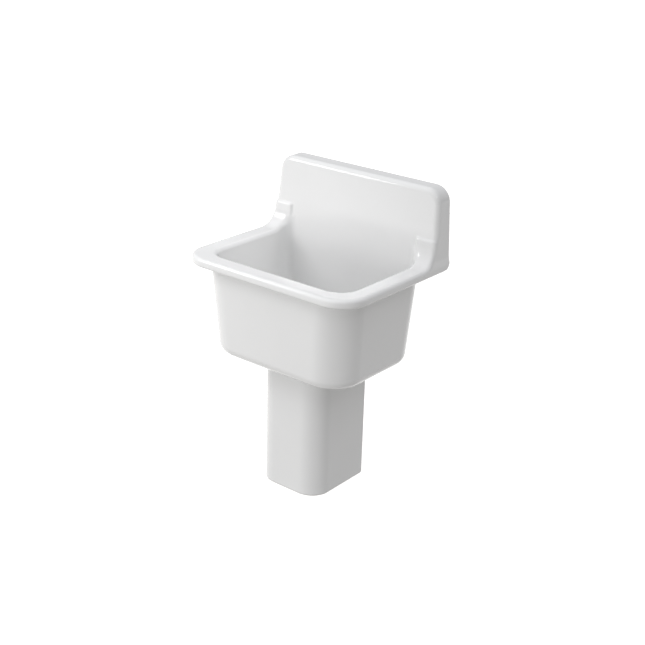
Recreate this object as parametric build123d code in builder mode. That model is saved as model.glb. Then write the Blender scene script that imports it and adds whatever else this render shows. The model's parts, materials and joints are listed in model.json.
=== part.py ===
from build123d import *
import os

# White vitreous-china pedestal service sink with an integral backsplash, its strainer
# waste, bottle trap and floor outlet.
#
# Frame: millimetres, +Z up, the wall behind the sink at +Y, the user at -Y, +X to the
# user's right. The origin is on the floor, under the middle of the whole sink.

os.makedirs("parts", exist_ok=True)

# ---------------------------------------------------------------- driving sizes
rim_width = 500
sink_depth = 390
rim_top = 578
sink_height = 755

wall_y = sink_depth / 2
front_y = -sink_depth / 2

# Rim: a thick flat lip, with a rounded edge, round the bowl.
lip_height = 22
lip_corner_radius = 68
lip_top_round = 8
lip_under_round = 6
rim_face = 50
rim_under = rim_top - lip_height

# Backsplash: a hollow plate that thins and narrows towards its top.
back_bottom = rim_under
back_bottom_width = 496
back_top_width = 474
back_bottom_thickness = 61
back_top_thickness = 45
back_top_corner = 36
back_bottom_corner = 8
back_edge_round = 14
back_heel_radius = 24
back_shell = 14
pocket_depth = 31
pocket_bottom = back_bottom + back_heel_radius + back_shell / 2
pocket_bottom_corner = 12

# Body under the rim, drawn in a little towards its foot.
body_bottom = 329
side_overhang = 31
front_overhang = 26
body_back_gap = 40
side_draft = 16.5
front_draft = 14.5
body_front_corner = 84
body_back_corner = 68
body_corner_loss = 4
body_foot_round = 27

# Bowl: its back wall runs straight up into the backsplash's face.
bowl_floor = 347
bowl_corner_radius = 45
bowl_floor_width = 379
bowl_floor_front = front_y + 54
bowl_floor_back = 118
bowl_floor_corner = 46
bowl_floor_round = 40
sweep_radius = 40

# A low tongue on each side, where the rim runs on up the backsplash's face.
tongue_proud = 5
tongue_overlap = 14
tongue_height = 60
tongue_slope = 4

# Waste, on a vertical axis a little in front of the sink's middle.
drain_y = -8
recess_radius = 43
recess_floor = 340
china_hole_radius = 30
dish_radius = 120
dish_top = bowl_floor + 1
dish_bottom = bowl_floor - 3

# Pedestal: a shell, open at its back.
pedestal_width = 185
pedestal_front = -90
pedestal_back = 98
pedestal_top = 327
pedestal_corner_radius = 52
pedestal_wall = 12
pedestal_foot_round = 3
lug_length = 30
lug_width = 24
lug_height = 14
floor_bolt_radius = 4.5
floor_bolt_spacing = 136
floor_bolt_y = 82


def level(height):
    """A horizontal plane at this height, with its origin on the waste's axis."""
    return Plane(origin=(0, drain_y, height))


def ring(outer, inner):
    """A flat ring, in the sketch being made."""
    Circle(outer)
    Circle(inner, mode=Mode.SUBTRACT)


waste_section = Plane(origin=(0, drain_y, 0), x_dir=(1, 0, 0), z_dir=(0, -1, 0))
waste_axis = Axis((0, drain_y, 0), (0, 0, 1))


def face_y(height):
    """Where the backsplash's sloping front face is at this height."""
    rise = (height - back_bottom) / (sink_height - back_bottom)
    thickness = back_bottom_thickness + rise * (back_top_thickness - back_bottom_thickness)
    return wall_y - thickness


# ---------------------------------------------------------------- basin
# The backsplash: its front outline, thinned by a side profile, its front edge rounded.
half_bottom = back_bottom_width / 2
half_top = back_top_width / 2
with BuildPart() as backsplash:
    with BuildSketch(Plane.XZ.offset(-wall_y)) as outline:
        with BuildLine():
            Polyline(
                (-half_bottom, back_bottom),
                (half_bottom, back_bottom),
                (half_top, sink_height),
                (-half_top, sink_height),
                close=True,
            )
        make_face()
        fillet(outline.vertices().group_by(Axis.Y)[-1], radius=back_top_corner)
        fillet(outline.vertices().group_by(Axis.Y)[0], radius=back_bottom_corner)
    extrude(amount=back_bottom_thickness)
    with BuildSketch(Plane.YZ) as side_profile:
        with BuildLine():
            Polyline(
                (wall_y, back_bottom),
                (face_y(back_bottom), back_bottom),
                (face_y(sink_height), sink_height),
                (wall_y, sink_height),
                close=True,
            )
        make_face()
    extrude(amount=rim_width, both=True, mode=Mode.INTERSECT)
    fillet(backsplash.faces().sort_by(Axis.Y)[0].edges(), radius=back_edge_round)

# The bowl's space: tapered walls, a rounded floor, and the same slope at the back as
# the backsplash has, carried up past the rim so that it clears the sweeps.
inner_half = rim_width / 2 - rim_face
inner_front = front_y + rim_face
headroom = 60
with BuildPart() as bowl_space:
    with BuildSketch(Plane.XY.offset(bowl_floor)):
        with Locations((0, (bowl_floor_front + bowl_floor_back) / 2)):
            RectangleRounded(bowl_floor_width, bowl_floor_back - bowl_floor_front, bowl_floor_corner)
    with BuildSketch(Plane.XY.offset(rim_top)):
        with Locations((0, (inner_front + face_y(rim_top)) / 2)):
            RectangleRounded(2 * inner_half, face_y(rim_top) - inner_front, bowl_corner_radius)
    loft(ruled=True)
    fillet(bowl_space.faces().sort_by(Axis.Z)[0].edges(), radius=bowl_floor_round)
    with BuildSketch(Plane.XY.offset(rim_top)):
        with Locations((0, (inner_front + face_y(rim_top)) / 2)):
            RectangleRounded(2 * inner_half, face_y(rim_top) - inner_front, bowl_corner_radius)
    extrude(amount=headroom)

body_half = rim_width / 2 - side_overhang
body_front = front_y + front_overhang
body_back = wall_y - body_back_gap
body_width = 2 * body_half
body_depth = body_back - body_front
body_centre = (body_back + body_front) / 2
foot_width = body_width - 2 * side_draft
foot_depth = body_depth - 2 * front_draft
with BuildPart() as basin:
    with BuildSketch(Plane.XY.offset(body_bottom)) as foot_outline:
        with Locations((0, body_centre)):
            Rectangle(foot_width, foot_depth)
        fillet(foot_outline.vertices().group_by(Axis.Y)[0], radius=body_front_corner - body_corner_loss)
        fillet(foot_outline.vertices().group_by(Axis.Y)[-1], radius=body_back_corner - body_corner_loss)
    with BuildSketch(Plane.XY.offset(rim_under)) as body_outline:
        with Locations((0, body_centre)):
            Rectangle(body_width, body_depth)
        fillet(body_outline.vertices().group_by(Axis.Y)[0], radius=body_front_corner)
        fillet(body_outline.vertices().group_by(Axis.Y)[-1], radius=body_back_corner)
    loft(ruled=True)
    fillet(basin.faces().sort_by(Axis.Z)[0].edges(), radius=body_foot_round)
    # The rim's slab, round the bowl and back to the wall, under the backsplash.
    with BuildSketch(Plane.XY.offset(rim_under)) as rim_outline:
        Rectangle(rim_width, sink_depth)
        fillet(rim_outline.vertices().group_by(Axis.Y)[0], radius=lip_corner_radius)
    extrude(amount=lip_height)
    lip_edges = basin.faces().sort_by(Axis.Z)[-1].edges()
    fillet(lip_edges.sort_by(Axis.Y)[:-1], radius=lip_top_round)
    add(backsplash.part)
    # Its lowest edge at the wall is rounded off.
    with BuildSketch(Plane.YZ) as heel:
        with Locations((wall_y, back_bottom)):
            Rectangle(2 * back_heel_radius, 2 * back_heel_radius)
        with Locations((wall_y - back_heel_radius, back_bottom + back_heel_radius)):
            Circle(back_heel_radius, mode=Mode.SUBTRACT)
        with Locations((wall_y - 2 * back_heel_radius, back_bottom)):
            Rectangle(2 * back_heel_radius, 4 * back_heel_radius, mode=Mode.SUBTRACT)
    extrude(amount=rim_width, both=True, mode=Mode.SUBTRACT)
    # The rim sweeps up into a low tongue on the backsplash's face, on each side of the
    # bowl.
    tongue_inner = inner_half - tongue_overlap
    tongue_top = rim_top + tongue_height
    tongue_foot = face_y(rim_top + sweep_radius) - tongue_proud
    sweep_foot = (tongue_foot - sweep_radius, rim_top)
    sweep_crown = (tongue_foot, rim_top + sweep_radius)
    inside_y = wall_y - back_shell
    for side in (-1, 1):
        with BuildSketch(Plane.YZ.offset(side * tongue_inner)):
            with BuildLine():
                TangentArc(sweep_foot, sweep_crown, tangent=(1, 0))
                Polyline(
                    sweep_crown,
                    (face_y(tongue_top - tongue_slope) - tongue_proud, tongue_top - tongue_slope),
                    (face_y(tongue_top), tongue_top),
                    (inside_y, tongue_top),
                    (inside_y, rim_top),
                    sweep_foot,
                )
            make_face()
        extrude(amount=side * (half_bottom - back_edge_round - tongue_inner))
    # The pocket in the back of the backsplash, where the wall hangers reach in.
    with BuildSketch(Plane.XZ.offset(-wall_y)) as pocket:
        with BuildLine():
            Polyline(
                (-half_bottom + back_shell, pocket_bottom),
                (half_bottom - back_shell, pocket_bottom),
                (half_top - back_shell, sink_height - back_shell),
                (-half_top + back_shell, sink_height - back_shell),
                close=True,
            )
        make_face()
        fillet(pocket.vertices().group_by(Axis.Y)[-1], radius=back_top_corner - back_shell)
        fillet(pocket.vertices().group_by(Axis.Y)[0], radius=pocket_bottom_corner)
    extrude(amount=pocket_depth, mode=Mode.SUBTRACT)
    add(bowl_space.part, mode=Mode.SUBTRACT)
    # The floor dishes down to the waste's recess and its hole.
    with BuildSketch(waste_section):
        with BuildLine():
            Polyline(
                (0, dish_bottom),
                (recess_radius, dish_bottom),
                (dish_radius, dish_top),
                (0, dish_top),
                close=True,
            )
        make_face()
    revolve(axis=waste_axis, mode=Mode.SUBTRACT)
    with BuildSketch(level(recess_floor)):
        Circle(recess_radius)
    extrude(amount=dish_top - recess_floor, mode=Mode.SUBTRACT)
    with BuildSketch(level(body_bottom)):
        Circle(china_hole_radius)
    extrude(amount=dish_top - body_bottom, mode=Mode.SUBTRACT)
basin.part.label = "basin"
export_step(basin.part, "parts/basin.step")

# ---------------------------------------------------------------- pedestal
pedestal_half = pedestal_width / 2
with BuildPart() as pedestal:
    with BuildSketch(Plane.XY) as column:
        with Locations((0, (pedestal_front + pedestal_back) / 2)):
            Rectangle(pedestal_width, pedestal_back - pedestal_front)
        fillet(column.vertices().group_by(Axis.Y)[0], radius=pedestal_corner_radius)
    extrude(amount=pedestal_top)
    foot_edges = pedestal.faces().sort_by(Axis.Z)[0].edges().sort_by(Axis.Y)[:-1]
    fillet(foot_edges, radius=pedestal_foot_round)
    with BuildSketch(Plane.XY) as hollow:
        with Locations((0, (pedestal_front + pedestal_wall + pedestal_back) / 2)):
            Rectangle(
                pedestal_width - 2 * pedestal_wall, pedestal_back - pedestal_front - pedestal_wall
            )
        fillet(
            hollow.vertices().group_by(Axis.Y)[0], radius=pedestal_corner_radius - pedestal_wall
        )
    extrude(amount=pedestal_top, mode=Mode.SUBTRACT)
    # A lug inside each side of the foot takes a floor bolt.
    for side in (-1, 1):
        with BuildSketch(Plane.XY):
            with Locations((side * (pedestal_half - pedestal_wall - lug_width / 2), floor_bolt_y)):
                Rectangle(lug_width, lug_length)
        extrude(amount=lug_height)
    with BuildSketch(Plane.XY):
        with Locations((-floor_bolt_spacing / 2, floor_bolt_y), (floor_bolt_spacing / 2, floor_bolt_y)):
            Circle(floor_bolt_radius)
    extrude(amount=lug_height, mode=Mode.SUBTRACT)
pedestal.part.label = "pedestal"
export_step(pedestal.part, "parts/pedestal.step")

# Rubber pads between the pedestal's top and the basin.
pad_length = 24
pad_width = 9
pad_y = 70
with BuildPart() as pedestal_pads:
    with BuildSketch(Plane.XY.offset(pedestal_top)):
        side_x = pedestal_half - pedestal_wall / 2
        with Locations((-side_x, pad_y), (side_x, pad_y), (-side_x, 0), (side_x, 0)):
            Rectangle(pad_width, pad_length)
        with Locations((0, pedestal_front + pedestal_wall / 2)):
            Rectangle(pad_length, pad_width)
    extrude(amount=body_bottom - pedestal_top)
pedestal_pads.part.label = "pedestal_pads"
export_step(pedestal_pads.part, "parts/pedestal_pads.step")

# ---------------------------------------------------------------- wall hangers
# Steel angles, screwed to the wall. The pocket's ceiling rests on their shelves.
hanger_x = 150
hanger_width = 44
hanger_thickness = 3
hanger_shelf = 24
hanger_top = sink_height - back_shell
hanger_bottom = 672
hanger_holes = (688, 720)
wall_screw_radius = 3.5
for side, name in ((-1, "wall_hanger_left"), (1, "wall_hanger_right")):
    with BuildPart() as hanger:
        with BuildSketch(Plane.YZ.offset(side * hanger_x)) as angle:
            with BuildLine():
                Polyline(
                    (wall_y, hanger_bottom),
                    (wall_y, hanger_top),
                    (wall_y - hanger_shelf, hanger_top),
                    (wall_y - hanger_shelf, hanger_top - hanger_thickness),
                    (wall_y - hanger_thickness, hanger_top - hanger_thickness),
                    (wall_y - hanger_thickness, hanger_bottom),
                    close=True,
                )
            make_face()
        extrude(amount=hanger_width / 2, both=True)
        with BuildSketch(Plane.XZ.offset(-wall_y)):
            with Locations(*[(side * hanger_x, height) for height in hanger_holes]):
                Circle(wall_screw_radius)
        extrude(amount=hanger_thickness, mode=Mode.SUBTRACT)
    hanger.part.label = name
    export_step(hanger.part, f"parts/{name}.step")

# ---------------------------------------------------------------- strainer waste
flange_radius = 42
flange_thickness = 2
gasket_thickness = 2
cup_outer = 28
cup_inner = 26
cup_floor = 305
spigot_outer = 24
spigot_inner = 19.5
spigot_bottom = 288
cup_floor_wall = 2
gasket_inset = 1
flange_bottom = recess_floor + gasket_thickness
flange_top = flange_bottom + flange_thickness

with BuildPart() as drain_gasket_upper:
    with BuildSketch(level(recess_floor)):
        ring(flange_radius - gasket_inset, china_hole_radius)
    extrude(amount=gasket_thickness)
drain_gasket_upper.part.label = "drain_gasket_upper"
export_step(drain_gasket_upper.part, "parts/drain_gasket_upper.step")

with BuildPart() as drain_body:
    with BuildSketch(waste_section):
        with BuildLine():
            Polyline(
                (cup_inner, flange_top),
                (flange_radius, flange_top),
                (flange_radius, flange_bottom),
                (cup_outer, flange_bottom),
                (cup_outer, cup_floor - cup_floor_wall),
                (spigot_outer, cup_floor - cup_floor_wall),
                (spigot_outer, spigot_bottom),
                (spigot_inner, spigot_bottom),
                (spigot_inner, cup_floor),
                (cup_inner, cup_floor),
                close=True,
            )
        make_face()
    revolve(axis=waste_axis)
drain_body.part.label = "drain_body"
export_step(drain_body.part, "parts/drain_body.step")

# Under the basin: a rubber gasket, a fibre washer that lets the nut slip, and the nut.
nut_clearance = 0.3
lower_gasket = 3
fibre_thickness = 1
locknut_height = 9
locknut_radius = 44
locknut_body_radius = 38
locknut_lug_length = 14
locknut_lug_width = 15
gasket_outer = 41
with BuildPart() as drain_gasket_lower:
    with BuildSketch(level(body_bottom - lower_gasket)):
        ring(gasket_outer, cup_outer + nut_clearance)
    extrude(amount=lower_gasket)
drain_gasket_lower.part.label = "drain_gasket_lower"
export_step(drain_gasket_lower.part, "parts/drain_gasket_lower.step")

fibre_bottom = body_bottom - lower_gasket - fibre_thickness
with BuildPart() as drain_friction_washer:
    with BuildSketch(level(fibre_bottom)):
        ring(gasket_outer, cup_outer + nut_clearance)
    extrude(amount=fibre_thickness)
drain_friction_washer.part.label = "drain_friction_washer"
export_step(drain_friction_washer.part, "parts/drain_friction_washer.step")

locknut_lugs = 6
with BuildPart() as drain_locknut:
    with BuildSketch(level(fibre_bottom - locknut_height)):
        Circle(locknut_body_radius)
        with PolarLocations(locknut_radius - locknut_lug_length / 2, locknut_lugs):
            Rectangle(locknut_lug_length, locknut_lug_width)
        Circle(cup_outer + nut_clearance, mode=Mode.SUBTRACT)
    extrude(amount=locknut_height)
drain_locknut.part.label = "drain_locknut"
export_step(drain_locknut.part, "parts/drain_locknut.step")

# The lift-out strainer: a perforated basket, a knob on a stem, and a rubber stopper.
basket_outer = 24.8
basket_wall = 1
basket_rim = 33
basket_depth = 27
stem_radius = 3
basket_floor = flange_top - basket_depth
stopper_height = 5
stopper_top = cup_floor + stopper_height
hole_radius = 2
hole_rows = ((8, 6), (13.5, 12), (19, 18))
with BuildPart() as strainer_basket:
    with BuildSketch(waste_section):
        with BuildLine():
            Polyline(
                (stem_radius, basket_floor),
                (basket_outer, basket_floor),
                (basket_outer, flange_top),
                (basket_rim, flange_top),
                (basket_rim, flange_top + basket_wall),
                (basket_outer - basket_wall, flange_top + basket_wall),
                (basket_outer - basket_wall, basket_floor + basket_wall),
                (stem_radius, basket_floor + basket_wall),
                close=True,
            )
        make_face()
    revolve(axis=waste_axis)
    with BuildSketch(level(basket_floor)):
        for row_radius, row_count in hole_rows:
            with PolarLocations(row_radius, row_count):
                Circle(hole_radius)
    extrude(amount=basket_wall, mode=Mode.SUBTRACT)
strainer_basket.part.label = "strainer_basket"
export_step(strainer_basket.part, "parts/strainer_basket.step")

knob_drop = 4
knob_neck_radius = 5
knob_radius = 9
knob_flare = 6
knob_edge = 9
knob_height = 11
knob_crown_radius = 7
knob_bottom = flange_top - knob_drop
with BuildPart() as strainer_knob:
    with BuildSketch(waste_section):
        with BuildLine():
            Polyline(
                (0, cup_floor),
                (stem_radius, cup_floor),
                (stem_radius, knob_bottom),
                (knob_neck_radius, knob_bottom),
                (knob_radius, knob_bottom + knob_flare),
                (knob_radius, knob_bottom + knob_edge),
                (knob_crown_radius, knob_bottom + knob_height),
                (0, knob_bottom + knob_height),
                close=True,
            )
        make_face()
    revolve(axis=waste_axis)
strainer_knob.part.label = "strainer_knob"
export_step(strainer_knob.part, "parts/strainer_knob.step")

stopper_foot_radius = 21.5
stopper_radius = 22.5
stopper_seat = 2
stopper_top_radius = 18
with BuildPart() as strainer_stopper:
    with BuildSketch(waste_section):
        with BuildLine():
            Polyline(
                (stem_radius, cup_floor),
                (stopper_foot_radius, cup_floor),
                (stopper_radius, cup_floor + stopper_seat),
                (stopper_top_radius, stopper_top),
                (stem_radius, stopper_top),
                close=True,
            )
        make_face()
    revolve(axis=waste_axis)
strainer_stopper.part.label = "strainer_stopper"
export_step(strainer_stopper.part, "parts/strainer_stopper.step")

# ---------------------------------------------------------------- tailpiece
tube_radius = 19
tube_wall = 1.2
tail_flange_radius = 23.4
tail_flange = 1.5
washer_thickness = 2
nut_radius = 30
nut_lip = 3
nut_sides = 10
tail_top = spigot_bottom - washer_thickness
tail_bottom = 226
thread_length = 12
washer_clearance = 0.1

with BuildPart() as tailpiece_washer:
    with BuildSketch(level(tail_top)):
        ring(tail_flange_radius, spigot_inner)
    extrude(amount=washer_thickness)
tailpiece_washer.part.label = "tailpiece_washer"
export_step(tailpiece_washer.part, "parts/tailpiece_washer.step")

with BuildPart() as tailpiece:
    with BuildSketch(level(tail_bottom)):
        ring(tube_radius, tube_radius - tube_wall)
    extrude(amount=tail_top - tail_bottom)
    with BuildSketch(level(tail_top - tail_flange)):
        ring(tail_flange_radius, tube_radius - tube_wall)
    extrude(amount=tail_flange)
tailpiece.part.label = "tailpiece"
export_step(tailpiece.part, "parts/tailpiece.step")

tail_nut_bottom = tail_top - tail_flange - nut_lip
tail_nut_top = spigot_bottom + thread_length
with BuildPart() as tailpiece_nut:
    with BuildSketch(level(tail_nut_bottom)):
        RegularPolygon(nut_radius, nut_sides)
    extrude(amount=tail_nut_top - tail_nut_bottom)
    with BuildSketch(level(tail_nut_bottom)):
        Circle(tube_radius + nut_clearance)
    extrude(amount=nut_lip, mode=Mode.SUBTRACT)
    with BuildSketch(level(tail_nut_bottom + nut_lip)):
        Circle(spigot_outer + nut_clearance)
    extrude(amount=tail_nut_top - tail_nut_bottom, mode=Mode.SUBTRACT)
tailpiece_nut.part.label = "tailpiece_nut"
export_step(tailpiece_nut.part, "parts/tailpiece_nut.step")

# ---------------------------------------------------------------- bottle trap
trap_neck_top = 250
trap_neck_outer = 24
trap_roof = 236
trap_shoulder = 180
trap_outer = 33.5
trap_thread_outer = 29.5
trap_inner = 26.5
trap_thread_bottom = 165
dip_outer = 20.5
dip_inner = 17.5
dip_bottom = 122
outlet_z = 208
pipe_radius = 20
pipe_wall = 1.8
outlet_end_y = 46
outlet_start_y = 14
trap_roof_thickness = 3
trap_ceiling = trap_roof - trap_roof_thickness
with BuildPart() as trap_body:
    # The outside: neck, bottle and thread, and a spigot towards the back.
    with BuildSketch(level(trap_thread_bottom)):
        Circle(trap_thread_outer)
    extrude(amount=trap_shoulder - trap_thread_bottom)
    with BuildSketch(level(trap_shoulder)):
        Circle(trap_outer)
    extrude(amount=trap_roof - trap_shoulder)
    with BuildSketch(level(trap_roof)):
        Circle(trap_neck_outer)
    extrude(amount=trap_neck_top - trap_roof)
    with BuildSketch(Plane.XZ.offset(-outlet_start_y)):
        with Locations((0, outlet_z)):
            Circle(trap_neck_outer)
    extrude(amount=outlet_start_y - outlet_end_y)
    # The inside: the bottle's bore, and the outlet's bore into it.
    with BuildSketch(level(trap_thread_bottom)):
        Circle(trap_inner)
    extrude(amount=trap_ceiling - trap_thread_bottom, mode=Mode.SUBTRACT)
    with BuildSketch(Plane.XZ.offset(-outlet_start_y)):
        with Locations((0, outlet_z)):
            Circle(pipe_radius + nut_clearance)
    extrude(amount=outlet_start_y - outlet_end_y, mode=Mode.SUBTRACT)
    # The dip tube hangs from the roof, and the tailpiece stops on its top.
    with BuildSketch(level(dip_bottom)):
        Circle(dip_outer)
    extrude(amount=trap_ceiling - dip_bottom)
    with BuildSketch(level(dip_bottom)):
        Circle(dip_inner)
    extrude(amount=trap_neck_top - dip_bottom, mode=Mode.SUBTRACT)
    with BuildSketch(level(tail_bottom)):
        Circle(tube_radius + nut_clearance)
    extrude(amount=trap_neck_top - tail_bottom, mode=Mode.SUBTRACT)
trap_body.part.label = "trap_body"
export_step(trap_body.part, "parts/trap_body.step")

inlet_washer = 4
with BuildPart() as trap_inlet_washer:
    with BuildSketch(level(trap_neck_top)):
        ring(tail_flange_radius, tube_radius + washer_clearance)
    extrude(amount=inlet_washer)
trap_inlet_washer.part.label = "trap_inlet_washer"
export_step(trap_inlet_washer.part, "parts/trap_inlet_washer.step")

inlet_nut_bottom = trap_neck_top - thread_length
inlet_nut_top = trap_neck_top + inlet_washer + nut_lip
with BuildPart() as trap_inlet_nut:
    with BuildSketch(level(inlet_nut_bottom)):
        RegularPolygon(nut_radius, nut_sides)
    extrude(amount=inlet_nut_top - inlet_nut_bottom)
    with BuildSketch(level(inlet_nut_bottom)):
        Circle(trap_neck_outer + nut_clearance)
    extrude(amount=inlet_nut_top - nut_lip - inlet_nut_bottom, mode=Mode.SUBTRACT)
    with BuildSketch(level(inlet_nut_top - nut_lip)):
        Circle(tube_radius + nut_clearance)
    extrude(amount=nut_lip, mode=Mode.SUBTRACT)
trap_inlet_nut.part.label = "trap_inlet_nut"
export_step(trap_inlet_nut.part, "parts/trap_inlet_nut.step")

# The cup screws on below, against a flat seal.
seal_thickness = 2
seal_inset = 0.5
cup_top = trap_shoulder - seal_thickness
trap_cup_outer = 35
trap_cup_inner = trap_thread_outer + nut_clearance
trap_cup_bottom = 86
trap_cup_floor = 3
trap_cup_round = 12
with BuildPart() as trap_cup_seal:
    with BuildSketch(level(cup_top)):
        ring(trap_outer - seal_inset, trap_cup_inner)
    extrude(amount=seal_thickness)
trap_cup_seal.part.label = "trap_cup_seal"
export_step(trap_cup_seal.part, "parts/trap_cup_seal.step")

with BuildPart() as trap_cup:
    with BuildSketch(level(trap_cup_bottom)):
        Circle(trap_cup_outer)
    extrude(amount=cup_top - trap_cup_bottom)
    fillet(trap_cup.edges().sort_by(Axis.Z)[0], radius=trap_cup_round)
    with BuildSketch(level(trap_cup_bottom + trap_cup_floor)):
        Circle(trap_cup_inner)
    extrude(amount=cup_top - trap_cup_bottom, mode=Mode.SUBTRACT)
trap_cup.part.label = "trap_cup"
export_step(trap_cup.part, "parts/trap_cup.step")

# ---------------------------------------------------------------- outlet to the floor
outlet_washer = 4
with BuildPart() as trap_outlet_washer:
    with BuildSketch(Plane.XZ.offset(-outlet_end_y)):
        with Locations((0, outlet_z)):
            ring(tail_flange_radius, pipe_radius + washer_clearance)
    extrude(amount=-outlet_washer)
trap_outlet_washer.part.label = "trap_outlet_washer"
export_step(trap_outlet_washer.part, "parts/trap_outlet_washer.step")

outlet_nut_start = outlet_end_y - thread_length
outlet_nut_end = outlet_end_y + outlet_washer + nut_lip
with BuildPart() as trap_outlet_nut:
    with BuildSketch(Plane.XZ.offset(-outlet_nut_start)):
        with Locations((0, outlet_z)):
            RegularPolygon(nut_radius, nut_sides)
    extrude(amount=outlet_nut_start - outlet_nut_end)
    with BuildSketch(Plane.XZ.offset(-outlet_nut_start)):
        with Locations((0, outlet_z)):
            Circle(trap_neck_outer + nut_clearance)
    extrude(amount=outlet_nut_start - outlet_nut_end + nut_lip, mode=Mode.SUBTRACT)
    with BuildSketch(Plane.XZ.offset(-outlet_nut_end)):
        with Locations((0, outlet_z)):
            Circle(pipe_radius + nut_clearance)
    extrude(amount=nut_lip, mode=Mode.SUBTRACT)
trap_outlet_nut.part.label = "trap_outlet_nut"
export_step(trap_outlet_nut.part, "parts/trap_outlet_nut.step")

pipe_start_y = 28
bend_radius = 27
floor_pipe_y = 88
with BuildPart() as outlet_bend:
    with BuildLine() as route:
        straight = Line((0, pipe_start_y, outlet_z), (0, floor_pipe_y - bend_radius, outlet_z))
        corner = TangentArc(
            straight @ 1, (0, floor_pipe_y, outlet_z - bend_radius), tangent=straight % 1
        )
        Line(corner @ 1, (0, floor_pipe_y, 0))
    with BuildSketch(Plane.XZ.offset(-pipe_start_y)):
        with Locations((0, outlet_z)):
            ring(pipe_radius, pipe_radius - pipe_wall)
    sweep(path=route.line)
outlet_bend.part.label = "outlet_bend"
export_step(outlet_bend.part, "parts/outlet_bend.step")

# The plate that covers the pipe's hole in the floor; it slides up the pipe.
floor_plate_radius = 36
floor_plate_height = 9
floor_plate_edge = 3
floor_plate_slope = 12
with BuildPart() as floor_plate:
    with BuildSketch(Plane((0, floor_pipe_y, 0))):
        ring(floor_plate_radius, pipe_radius + nut_clearance)
    extrude(amount=floor_plate_height)
    plate_top_edge = floor_plate.edges().group_by(Axis.Z)[-1].sort_by(SortBy.RADIUS)[-1]
    chamfer(plate_top_edge, length=floor_plate_height - floor_plate_edge, length2=floor_plate_slope)
floor_plate.part.label = "floor_plate"
export_step(floor_plate.part, "parts/floor_plate.step")
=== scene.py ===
import json
import math

import bpy
import numpy as np
from mathutils import Matrix, Vector


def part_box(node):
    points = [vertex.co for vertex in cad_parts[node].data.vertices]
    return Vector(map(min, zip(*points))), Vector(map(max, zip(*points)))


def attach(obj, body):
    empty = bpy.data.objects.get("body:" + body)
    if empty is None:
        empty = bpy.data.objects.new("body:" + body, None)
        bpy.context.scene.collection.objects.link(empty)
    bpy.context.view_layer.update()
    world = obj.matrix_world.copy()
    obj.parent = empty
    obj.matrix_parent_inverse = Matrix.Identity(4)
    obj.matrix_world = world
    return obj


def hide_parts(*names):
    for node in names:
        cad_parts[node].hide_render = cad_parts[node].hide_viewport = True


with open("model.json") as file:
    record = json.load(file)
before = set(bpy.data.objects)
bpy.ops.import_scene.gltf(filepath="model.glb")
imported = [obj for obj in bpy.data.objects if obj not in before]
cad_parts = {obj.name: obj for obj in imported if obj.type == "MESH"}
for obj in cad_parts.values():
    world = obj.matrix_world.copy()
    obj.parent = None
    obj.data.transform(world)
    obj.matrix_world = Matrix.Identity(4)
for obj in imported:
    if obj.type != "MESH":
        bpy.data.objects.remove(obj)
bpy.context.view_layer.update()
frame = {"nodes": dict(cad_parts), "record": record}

MM = 0.001

# How finely surfaces are worked out. Lengths are in millimetres, angles in radians.
SLOPE_DELTA = 0.05
LEAST_SLOPE_SQUARED = 0.05
LONGEST_MOVE = 3.0
# A point moves this share of the way to its neighbours' middle, in each round.
EVENING_SHARE = 0.6
EVENING_ROUNDS = 6
ARC_STEPS = 4
SMALLEST_ROUND = 0.15
# An arc uses up no more than this share of the shorter edge beside its corner.
LONGEST_ARC_SHARE = 0.45
TWIST_DELTA = 0.002


# ---------------------------------------------------------------- implicit surfaces
def meet(a, b, radius):
    """The shape in both a and b, with its edge rounded."""
    rounded = np.hypot(np.maximum(a + radius, 0), np.maximum(b + radius, 0))
    return np.minimum(np.maximum(a, b), -radius) + rounded


def join(a, b, radius):
    """The shape in a or b, with a fillet where they cross."""
    return -meet(-a, -b, radius)


def step(low, high, value):
    """0 below low, 1 above high, smooth between."""
    t = np.clip((value - low) / (high - low), 0, 1)
    return t * t * (3 - 2 * t)


def rounded_rectangle(x, y, half_x, half_y, radius):
    """Distance outside a rectangle with round corners, in plan."""
    qx = np.abs(x) - half_x + radius
    qy = np.abs(y) - half_y + radius
    outside = np.hypot(np.maximum(qx, 0), np.maximum(qy, 0))
    return outside + np.minimum(np.maximum(qx, qy), 0) - radius


def gradient(field, points):
    """The field's slope at each point."""
    slopes = []
    for axis in range(3):
        offset = np.zeros(3)
        offset[axis] = SLOPE_DELTA
        ahead = field(*(points + offset).T)
        behind = field(*(points - offset).T)
        slopes.append((ahead - behind) / (2 * SLOPE_DELTA))
    return np.stack(slopes, axis=1)


def crossing_quads(inside, ids):
    """A quad round each grid edge that the surface crosses, facing outwards."""
    faces = []
    for axis in range(3):
        first = np.moveaxis(inside, axis, 0)
        cells = np.moveaxis(ids, axis, 0)
        start, end = first[:-1], first[1:]
        crossed = start != end
        i, j, k = np.nonzero(crossed[:, 1:-1, 1:-1])
        j, k = j + 1, k + 1
        quad = np.stack(
            [cells[i, j - 1, k - 1], cells[i, j, k - 1], cells[i, j, k], cells[i, j - 1, k]], axis=1
        )
        outward = start[i, j, k] if axis != 1 else ~start[i, j, k]
        quad[~outward] = quad[~outward][:, ::-1]
        faces.append(quad)
    return np.concatenate(faces)


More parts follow.
